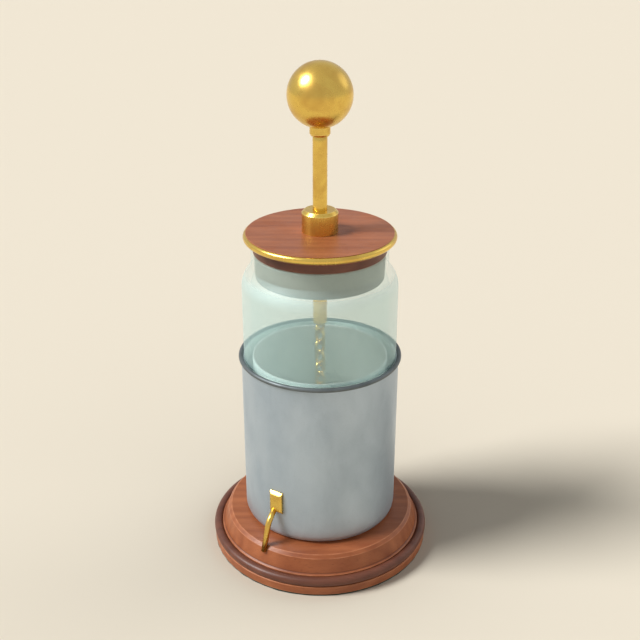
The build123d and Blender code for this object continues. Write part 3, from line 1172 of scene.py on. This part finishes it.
@dataclass
class EarthLead:
    """The brass clip on the outer foil and the wire that leads from it to the base."""

    clip_turn: float = 33.2
    clip_w: float = 7.2 * MM
    clip_t: float = 1.9 * MM
    bevel_h: float = 1.7 * MM
    bevel_w: float = 0.8 * MM
    bevel_t: float = 1.6 * MM
    round_edge: float = 0.16 * MM
    wire_turn: float = 34.6
    wire_r: float = 1.5 * MM
    root_in: float = 0.9 * MM
    root_drop: float = 4.2 * MM
    bend_out: float = 4.3 * MM
    bend_drop: float = 10 * MM
    bend_r: float = 8 * MM
    tip_out: float = 0.85 * MM
    tip_drop: float = 1.5 * MM

    def build(self, bench: Bench) -> None:
        """Makes and places the clip and the wire."""
        bench.fit(self.clip(), Slot.BRASS, Body.BASE.value, "earth_clip")
        bench.fit(self.wire(), Slot.BRASS, Body.BASE.value, "earth_wire")

    def clip(self) -> Mesh:
        """A plate with four bevels.

        Each level's outline goes across the face, whose depth is the least of the flat and the two
        bevels, blended softly, then back along the foil's round.

        Returns:
            The closed mesh.
        """
        low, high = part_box("earth_clip")
        foil = Extent.of("outer_foil").radius
        out, across = facing(self.clip_turn)
        levels = low.z + (high.z - low.z) * (1 - np.cos(np.linspace(0, math.pi, 61))) / 2
        half = self.clip_w / 2
        width = half * np.sin(np.linspace(-math.pi / 2, math.pi / 2, 61))
        ends = np.minimum(levels - low.z, high.z - levels)[:, None]
        sides = (half - np.abs(width))[None]
        rise = self.clip_t - self.bevel_t + ends * self.bevel_t / self.bevel_h
        slope = self.clip_t - self.bevel_w + sides
        soft = self.round_edge
        depth = -soft * np.log(
            np.exp(-self.clip_t / soft) + np.exp(-rise / soft) + np.exp(-slope / soft)
        )
        face = (foil + depth)[..., None] * out + width[None, :, None] * across
        under = np.sqrt(foil**2 - width[::-1] ** 2)
        rear = under[:, None] * out + width[::-1, None] * across
        rear = np.repeat(rear[None], len(levels), 0)
        grid = np.concatenate([face, rear], 1)
        grid[..., 2] = levels[:, None]
        caps = np.array([grid[0].mean(0), grid[-1].mean(0)])
        return skin("bevelled_clip", grid[:, ::-1], caps)

    def wire(self) -> Mesh:
        """A round bar: a short run out of the clip, one bend as an arc, and a run to the base.

        Returns:
            The closed mesh.
        """
        low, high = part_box("earth_clip")
        step = Extent.of("base_step")
        base = TurnedBase()
        face = Extent.of("outer_foil").radius + self.clip_t
        middle = (low.z + high.z) / 2
        bevel_r = step.radius - base.flare_w - base.side_w
        bevel_z = step.high - base.bevel_h
        root = (face - self.root_in, middle - self.root_drop)
        bend = (face + self.bend_out, middle - self.bend_drop)
        tip = (bevel_r + self.tip_out, bevel_z - self.tip_drop)
        route = eased([(*root, 0), (*bend, self.bend_r), (*tip, 0)])
        out, across = facing(self.wire_turn)
        path = route[:, :1] * out + route[:, 1:2] * np.array([0, 0, 1.0])
        whole, radii = domed(path, self.wire_r, 0.4 * MM)
        return bar("bent_wire", whole, across, radii, closed=False)


@dataclass
class Lid:
    """Stopper, neck ring, disc and brass ring of the lid, with the collar and its clamp."""

    ring_tube: float = 1.69 * MM
    hole: float = 5.25 * MM
    bevel: float = 1.4 * MM
    tail: float = 5.2 * MM
    bore: float = 3.55 * MM
    taper: float = 0.4 * MM
    edge: float = 0.6 * MM
    flats: float = 15 * MM
    nut_chamfer: float = 0.9 * MM

    def build(self, bench: Bench) -> None:
        """Makes and places the lid's pieces.

        Args:
            bench: what puts them in place.
        """
        body = Body.LID.value
        bench.fit(self.stopper(), Slot.RUBBER, body, "stopper")
        bench.fit(self.neck(), Slot.DARK_WOOD, body, "lid_neck")
        bench.fit(self.disc(), Slot.MAHOGANY, body, "lid_disc")
        bench.fit(self.ring(), Slot.BRASS, body, "lid_ring")
        bench.fit(self.collar(), Slot.BRASS, body, "lid_collar")
        bench.fit(self.washer(), Slot.BRASS, body, "clamp_washer")
        bench.fit(self.nut(), Slot.BRASS, body, "clamp_nut")

    def stopper(self) -> Mesh:
        """A bored plug, a little narrower below."""
        section = Extent.of("stopper").slab(self.edge, 0.3 * MM, self.hole, 0.1 * MM, self.taper)
        return turned("grey_stopper", refined(section, 3 * MM))

    def neck(self) -> Mesh:
        """The dark ring between the stopper and the disc."""
        return turned("dark_neck", Extent.of("lid_neck").slab(0.4 * MM, 0.2 * MM, self.hole))

    def disc(self) -> Mesh:
        """The lid's wood, with a round groove in its edge for the brass ring.

        Returns:
            The closed mesh.
        """
        e = Extent.of("lid_disc")
        ring = Extent.of("lid_ring")
        ring_r = ring.radius - self.ring_tube
        ring_z = ring.high - self.ring_tube
        tube = self.ring_tube + 0.05 * MM
        side = e.radius - 0.15 * MM
        reach = math.acos((side - ring_r) / tube)
        angle = np.linspace(-reach, -TAU + reach, 30)
        groove = [(ring_r + tube * math.cos(a), ring_z + tube * math.sin(a), 0) for a in angle]
        corners = [
            (self.hole, e.low, 0),
            (side, e.low, 0.15 * MM),
            *groove,
            (side, e.high, 0.12 * MM),
            (self.hole, e.high, 0),
        ]
        return turned("mahogany_lid", refined(eased(corners), 3 * MM))

    def ring(self) -> Mesh:
        """The round brass ring in the lid's edge."""
        return turned("brass_lid_ring", Extent.of("lid_ring").loop(self.ring_tube), 256)

    def collar(self) -> Mesh:
        """The collar on the lid and its tail below, bored for the rod.

        Returns:
            The closed mesh.
        """
        e = Extent.of("lid_collar")
        foot = Extent.of("lid_disc").high
        corners = [
            (self.bore, e.low, 0.2 * MM),
            (self.tail, e.low, 0.5 * MM),
            (self.tail, foot, 0),
            (e.radius, foot, 0.2 * MM),
            (e.radius, e.high - self.bevel, 0.18 * MM),
            (e.radius - self.bevel, e.high, 0.18 * MM),
            (self.bore, e.high, 0.25 * MM),
        ]
        return turned("brass_collar", eased(corners), 160)

    def washer(self) -> Mesh:
        """A flat washer."""
        section = Extent.of("clamp_washer").slab(0.2 * MM, 0.1 * MM, self.hole, 0.1 * MM)
        return turned("brass_washer", section, 128)

    def nut(self) -> Mesh:
        """A hexagon nut: the lesser of a chamfered round bar and six flats at each point.

        Returns:
            The closed mesh.
        """
        e = Extent.of("clamp_nut")
        corner_r = self.flats / 2 / math.cos(math.pi / 6)
        slant = self.nut_chamfer * 0.6
        corners = [
            (self.hole, e.low, 0.15 * MM),
            (corner_r - self.nut_chamfer, e.low, 0.15 * MM),
            (corner_r, e.low + slant, 0.15 * MM),
            (corner_r, e.high - slant, 0.15 * MM),
            (corner_r - self.nut_chamfer, e.high, 0.15 * MM),
            (self.hole, e.high, 0),
        ]

        def hexagon(angle: Array, radius: Array, height: Array) -> Array:
            """The lesser of the radius and the flats' distance over the cosine from the nearest flat."""
            off = (angle + math.pi / 6) % (math.pi / 3) - math.pi / 6
            return np.minimum(radius, self.flats / 2 / np.cos(off))

        return turned("brass_nut", refined(eased(corners), 0.8 * MM), 180, hexagon)


@dataclass
class Conductor:
    """Rod, ferrule, ball, eye and chain."""

    rod_edge: float = 0.4 * MM
    ferrule_foot_h: float = 1.0 * MM
    ferrule_foot_in: float = 0.6 * MM
    wire: float = 0.8 * MM
    eye_r: float = 2.4 * MM
    link_r: float = 2.55 * MM
    first_turn: float = 45.0

    def build(self, bench: Bench) -> None:
        """Makes and places the rod, what it carries and the chain.

        Args:
            bench: what puts them in place.
        """
        body = Body.LID.value
        bench.fit(self.rod(), Slot.BRASS, body, "rod")
        bench.fit(self.ferrule(), Slot.BRASS, body, "ball_ferrule")
        bench.fit(self.ball(), Slot.BRASS, body, "ball")
        bench.fit(self.eye(), Slot.BRASS, body, "chain_eye")
        links = sorted(name for name in bench.nodes if name.startswith("chain_link_"))
        for number, node in enumerate(links, start=1):
            bench.fit(self.link(node, number), Slot.BRASS, f"link_{number:02d}", node)

    def rod(self) -> Mesh:
        """A straight rod with eased ends, up to its seat in the ball.

        Returns:
            The closed mesh.
        """
        e = Extent.of("rod")
        seen = Extent(e.radius, e.low, Extent.of("ball").low)
        return turned("brass_rod", refined(seen.slab(self.rod_edge, 0), 6 * MM), 96)

    def ferrule(self) -> Mesh:
        """A small collar that runs up to the ball.

        Returns:
            The closed mesh.
        """
        e = Extent.of("ball_ferrule")
        ball = Extent.of("ball")
        middle = ball.high - ball.radius
        bore = Extent.of("rod").radius + 0.05 * MM
        top = middle - math.sqrt(ball.radius**2 - e.radius**2)
        seat = middle - math.sqrt(ball.radius**2 - bore**2)
        corners = [
            (bore, e.low, 0.1 * MM),
            (e.radius - self.ferrule_foot_in, e.low, 0.15 * MM),
            (e.radius, e.low + self.ferrule_foot_h, 0.2 * MM),
            (e.radius, top, 0.08 * MM),
            (bore, seat, 0),
        ]
        return turned("brass_ferrule", eased(corners), 128)

    def ball(self) -> Mesh:
        """A ball: radius times cosine and radius times sine of its latitude.

        Returns:
            The closed mesh.
        """
        e = Extent.of("ball")
        latitude = np.linspace(-math.pi / 2, math.pi / 2, 97)
        middle = e.high - e.radius
        section = np.column_stack(
            [e.radius * np.cos(latitude), middle + e.radius * np.sin(latitude), np.zeros(97)]
        )
        section[[0, -1], 0] = 0
        return turned("brass_ball", section, 192)

    def loop(self, name: str, turn: float, middle: float, end_r: float, straight: float) -> Mesh:
        """A closed loop of wire: two half rounds of cosine and sine, half the straight run apart.

        Args:
            name: the mesh's name.
            turn: which way the loop's plane faces out, round from the front.
            middle: the height of its middle.
            end_r: the radius of its rounds.
            straight: the length of its straight sides.

        Returns:
            The closed mesh.
        """
        out, across = facing(turn)
        angle = np.concatenate([np.linspace(0, math.pi, 25), np.linspace(math.pi, TAU, 25)])
        lift = np.repeat([straight / 2, -straight / 2], 25)
        if straight <= 0:
            angle, lift = np.arange(48) / 48 * TAU, np.zeros(48)
        up = middle + lift + end_r * np.sin(angle)
        path = (end_r * np.cos(angle))[:, None] * out + up[:, None] * np.array([0, 0, 1.0])
        return bar(name, path, across, np.full(len(path), self.wire), closed=True, sides=24)

    def eye(self) -> Mesh:
        """The ring under the rod's end."""
        e = Extent.of("rod")
        return self.loop("brass_eye", self.first_turn, e.low - self.eye_r - self.wire, self.eye_r, 0)

    def link(self, node: str, number: int) -> Mesh:
        """One oval link, a quarter turn from the one above.

        Args:
            node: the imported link.
            number: its place in the chain, from the top.

        Returns:
            The closed mesh.
        """
        low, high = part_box(node)
        straight = high.z - low.z - 2 * (self.link_r + self.wire)
        turn = self.first_turn + 90 * number
        return self.loop(f"brass_link_{number:02d}", turn, (low.z + high.z) / 2, self.link_r, straight)


@dataclass(frozen=True)
class Lamp:
    """A far lamp: where it stands, how wide it looks from the jar and how bright it is.

    The turn is in degrees round from -X towards -Y, and the rise and the spread are in degrees. The level
    is how bright it makes a white surface that faces it.
    """

    name: str
    turn: float
    rise: float
    spread: float
    level: float
    mirrored: bool = True

    def hang(self) -> None:
        """Puts the lamp up. One that isn't mirrored lights surfaces and gives them no highlight."""
        data = bpy.data.lights.new(self.name, "SUN")
        data.angle = math.radians(self.spread)
        data.energy = self.level * math.pi
        turn, rise = math.radians(self.turn), math.radians(self.rise)
        away = (-math.cos(turn) * math.cos(rise), -math.sin(turn) * math.cos(rise), math.sin(rise))
        lamp = bpy.data.objects.new(self.name, data)
        lamp.rotation_euler = Vector(away).to_track_quat("Z", "Y").to_euler()
        lamp.visible_glossy = self.mirrored
        bpy.context.scene.collection.objects.link(lamp)


@dataclass
class Studio:
    """Camera, floor, lamps and the light all round."""

    lens: float = 55.0
    sensor: float = 36.0
    camera_place: tuple[float, float, float] = (0, -0.4491, 0.33345)
    camera_drop: float = 24.656
    floor_size: float = 12.0
    floor_colour: Colour = (0.80, 0.727, 0.599, 1.0)
    painted_shade_reach: float = 33 * MM
    # How far the painted shade on the floor round the jar reaches
    sky_colour: Colour = (1.0, 1.0, 1.0, 1.0)
    sky_fill: float = 0.07
    sky_shine: float = 0.62
    backdrop_colour: Colour = tone(241, 231, 212)
    lamps: tuple[Lamp, ...] = (
        Lamp("key_lamp", 10.5, 44.6, 23.0, 1.19),
        Lamp("back_lamp", 210.0, 18.0, 60.0, 0.33, mirrored=False),
        Lamp("side_lamp", 130.0, 8.0, 90.0, 0.27, mirrored=False),
        Lamp("glint_lamp", 204.0, 24.0, 34.0, 0.05),
    )

    def build(self) -> None:
        """Sets the view, the floor, the world and the lamps."""
        self.view()
        self.floor()
        self.world()
        for lamp in self.lamps:
            lamp.hang()
        bpy.context.scene.view_settings.view_transform = "Standard"
        log.info("studio: camera, floor, world and lamps")

    def view(self) -> None:
        """The camera at the photograph's place."""
        data = bpy.data.cameras.new("camera")
        data.lens = self.lens
        data.sensor_width = self.sensor
        camera = bpy.data.objects.new("camera", data)
        camera.location = self.camera_place
        camera.rotation_euler = (math.radians(90 - self.camera_drop), 0, 0)
        bpy.context.scene.collection.objects.link(camera)
        bpy.context.scene.camera = camera

    def floor(self) -> None:
        """A wide plain floor with painted shade: its colour darkens towards the jar.

        Its colour's share is the distance squared, over itself plus the painted shade's reach squared.
        """
        half = self.floor_size / 2
        corners = [(-half, -half, 0), (half, -half, 0), (half, half, 0), (-half, half, 0)]
        mesh = bpy.data.meshes.new("floor")
        mesh.from_pydata(corners, [], [(0, 1, 2, 3)])
        floor = bpy.data.objects.new("floor", mesh)
        bpy.context.scene.collection.objects.link(floor)
        s = Shader("pale_floor")
        away = s.add("ShaderNodeVectorMath", {0: s.place}, operation="LENGTH").outputs["Value"]
        square = s.times(away, away)
        share = s.math("DIVIDE", square, s.plus(square, self.painted_shade_reach**2))
        # Painted shade: the floor's colour fades towards black near the jar.
        colour = s.blend(share, (0, 0, 0, 1), self.floor_colour)
        surface = s.add("ShaderNodeBsdfDiffuse", {"Color": colour}).outputs[0]
        mesh.materials.append(s.finish(surface))

    def world(self) -> None:
        """Even light: a bright sky for mirrors, a weak one for all else, and a pale one to look at."""
        world = bpy.data.worlds.new("studio")
        bpy.context.scene.world = world
        nodes = Nodes(world)
        path = nodes.add("ShaderNodeLightPath").outputs
        strength = nodes.add(
            "ShaderNodeMapRange",
            {"Value": path["Is Glossy Ray"], "To Min": self.sky_fill, "To Max": self.sky_shine},
        )
        sky = nodes.add(
            "ShaderNodeBackground", {"Color": self.sky_colour, "Strength": strength.outputs[0]}
        )
        backdrop = nodes.add("ShaderNodeBackground", {"Color": self.backdrop_colour})
        seen = nodes.add(
            "ShaderNodeMixShader",
            {0: path["Is Camera Ray"], 1: sky.outputs[0], 2: backdrop.outputs[0]},
        )
        nodes.add("ShaderNodeOutputWorld", {"Surface": seen.outputs[0]})


def main() -> None:
    """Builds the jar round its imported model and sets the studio."""
    logging.basicConfig(level=logging.INFO, format="%(name)s %(message)s")
    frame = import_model()
    bench = Bench(frame["nodes"])
    for assembly in (TurnedBase(), FoiledJar(), EarthLead(), Lid(), Conductor()):
        assembly.build(bench)
    Studio().build()


if __name__ == "__main__":
    main()
